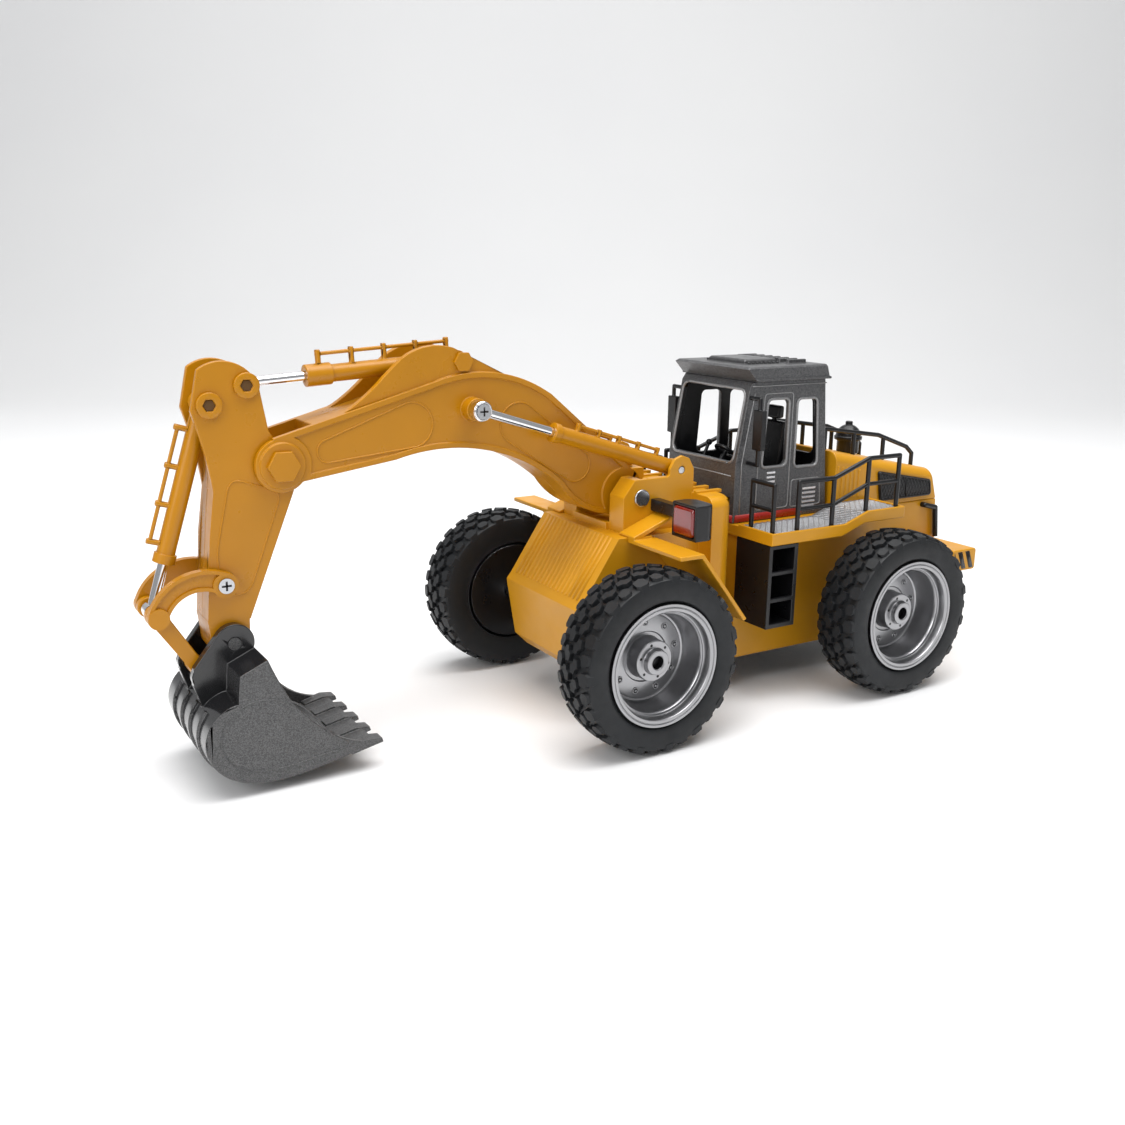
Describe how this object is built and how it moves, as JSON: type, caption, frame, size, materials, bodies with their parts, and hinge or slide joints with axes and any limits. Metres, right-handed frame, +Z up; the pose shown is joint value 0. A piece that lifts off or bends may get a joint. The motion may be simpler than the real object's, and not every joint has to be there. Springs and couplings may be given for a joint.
{
  "type": "toy wheeled excavator",
  "caption": "Toy wheeled excavator with an articulated chassis, cab, railed deck and a three-part digging arm with a toothed bucket.",
  "frame": {"origin": "middle of the bounding box's bottom face, on the ground the tyres stand on", "axes": "+X forward, from the cab to the bucket; +Y to the vehicle's left; +Z up"},
  "size_m": [0.3248, 0.124, 0.137],
  "materials": {
    "arm_yellow": "satin",
    "body_yellow": "satin",
    "bucket_grey": "satin",
    "cab_grey": "satin",
    "black_plastic": "satin",
    "rim_grey": "satin",
    "tyre": "matte",
    "chrome_rod": "polished",
    "steel": "satin",
    "grip_silver": "satin",
    "red_lens": "gloss",
    "gear_white": "satin",
    "board_green": "satin"
  },
  "bodies": {
    "rear_chassis": {"rear_hull": "body_yellow", "rear_base_plate": "black_plastic", "battery_cover": "black_plastic", "battery_pack": "black_plastic", "circuit_board": "board_green", "drive_motor": "steel", "gearbox_casing": "black_plastic", "steering_gearmotor": "steel", "steering_hinge_pin": "steel", "deck_frame": "body_yellow", "grip_plates": "grip_silver", "step_boxes": "black_plastic", "cab_shell": "cab_grey", "cab_roof": "cab_grey", "driver_seat": "black_plastic", "cab_controls": "black_plastic", "cab_mirrors": "black_plastic", "deck_rails": "black_plastic", "hood": "body_yellow", "hood_grilles": "black_plastic", "hood_rails": "black_plastic", "air_cleaner": "black_plastic", "engine_pipes": "black_plastic", "rear_bumper": "body_yellow", "rear_case_screws": "steel"},
    "power_switch": {"power_switch": "black_plastic"},
    "rear_wheels": {"rear_axle": "steel", "drive_gear": "gear_white", "rear_rims": "rim_grey", "rear_tyres": "tyre"},
    "front_chassis": {"front_hull": "body_yellow", "front_base_plate": "black_plastic", "front_fenders": "body_yellow", "headlight_housings": "black_plastic", "headlight_lenses": "red_lens", "chassis_arm_pins": "steel", "boom_gearmotor": "steel", "front_case_screws": "steel"},
    "front_wheels": {"front_axle": "steel", "front_rims": "rim_grey", "front_tyres": "tyre"},
    "boom": {"boom_left": "arm_yellow", "boom_right": "arm_yellow", "stick_pivot_bolt": "arm_yellow", "cylinder_base_bolt": "arm_yellow"},
    "boom_barrels": {"boom_cylinder_barrels": "arm_yellow"},
    "boom_rods": {"boom_cylinder_rods": "chrome_rod", "boom_eye_screws": "steel"},
    "stick": {"stick_left": "arm_yellow", "stick_right": "arm_yellow", "stick_pins": "arm_yellow", "rocker_screws": "steel"},
    "stick_barrel": {"stick_cylinder_barrel": "arm_yellow"},
    "stick_rod": {"stick_cylinder_rod": "chrome_rod"},
    "bucket_barrel": {"bucket_cylinder_barrel": "arm_yellow"},
    "bucket_rod": {"bucket_cylinder_rod": "chrome_rod"},
    "rocker": {"rocker_links": "arm_yellow"},
    "push_link": {"push_link": "arm_yellow"},
    "bucket": {"bucket": "bucket_grey", "bucket_pivot_pin": "bucket_grey"}
  },
  "joints": [
    {"name": "steering", "type": "hinge", "parent": "rear_chassis", "child": "front_chassis", "pos_m": [-0.0424, 0, 0.039], "axis": [0, 0, 1], "range_deg": [-15, 15]},
    {"name": "rear_wheels_spin", "type": "hinge", "parent": "rear_chassis", "child": "rear_wheels", "pos_m": [-0.1063, 0, 0.032], "axis": [0, 1, 0], "continuous": true},
    {"name": "front_wheels_spin", "type": "hinge", "parent": "front_chassis", "child": "front_wheels", "pos_m": [0.0096, 0, 0.032], "axis": [0, 1, 0], "continuous": true},
    {"name": "power_switch_slide", "type": "slide", "parent": "rear_chassis", "child": "power_switch", "axis": [1, 0, 0], "range_m": [0, 0.0028]},
    {"name": "boom_raise", "type": "hinge", "parent": "front_chassis", "child": "boom", "pos_m": [-0.0078, 0, 0.0799], "axis": [0, -1, 0], "range_deg": [-15, 30]},
    {"name": "boom_cylinder_tilt", "type": "hinge", "parent": "front_chassis", "child": "boom_barrels", "pos_m": [-0.0256, 0, 0.0886], "axis": [0, -1, 0], "range_deg": [-15, 28]},
    {"name": "boom_rod_slide", "type": "slide", "parent": "boom_barrels", "child": "boom_rods", "axis": [0.9531, 0, 0.3026], "range_m": [-0.009, 0.005]},
    {"name": "stick_swing", "type": "hinge", "parent": "boom", "child": "stick", "pos_m": [0.1192, 0, 0.0999], "axis": [0, -1, 0], "range_deg": [-30, 20]},
    {"name": "stick_cylinder_tilt", "type": "hinge", "parent": "boom", "child": "stick_barrel", "pos_m": [0.0569, 0, 0.1294], "axis": [0, -1, 0], "range_deg": [-5, 5]},
    {"name": "stick_rod_slide", "type": "slide", "parent": "stick_barrel", "child": "stick_rod", "axis": [0.9978, 0, -0.067], "range_m": [-0.0095, 0.0135]},
    {"name": "bucket_curl", "type": "hinge", "parent": "stick", "child": "bucket", "pos_m": [0.1373, 0, 0.0457], "axis": [0, -1, 0], "range_deg": [-25, 45]},
    {"name": "rocker_swing", "type": "hinge", "parent": "stick", "child": "rocker", "pos_m": [0.1388, 0, 0.0646], "axis": [0, -1, 0], "range_deg": [-18, 30]},
    {"name": "push_link_swing", "type": "hinge", "parent": "rocker", "child": "push_link", "pos_m": [0.1592, 0, 0.0568], "axis": [0, -1, 0], "range_deg": [-22, 14]},
    {"name": "bucket_cylinder_tilt", "type": "hinge", "parent": "stick", "child": "bucket_barrel", "pos_m": [0.1398, 0, 0.1192], "axis": [0, -1, 0], "range_deg": [-5, 7]},
    {"name": "bucket_rod_slide", "type": "slide", "parent": "bucket_barrel", "child": "bucket_rod", "axis": [0.2969, 0, -0.9549], "range_m": [-0.0105, 0.007]}
  ],
  "couplings": [
    {"joint": "boom_cylinder_tilt", "follows": "boom_raise", "ratio": 0.845},
    {"joint": "boom_rod_slide", "follows": "boom_raise", "m_per_rad": -0.0148},
    {"joint": "stick_cylinder_tilt", "follows": "stick_swing", "ratio": 0.11},
    {"joint": "stick_rod_slide", "follows": "stick_swing", "m_per_rad": -0.024},
    {"joint": "rocker_swing", "follows": "bucket_curl", "ratio": 0.6},
    {"joint": "push_link_swing", "follows": "bucket_curl", "ratio": -0.41},
    {"joint": "bucket_cylinder_tilt", "follows": "bucket_curl", "ratio": 0.11},
    {"joint": "bucket_rod_slide", "follows": "bucket_curl", "m_per_rad": -0.0112}
  ]
}
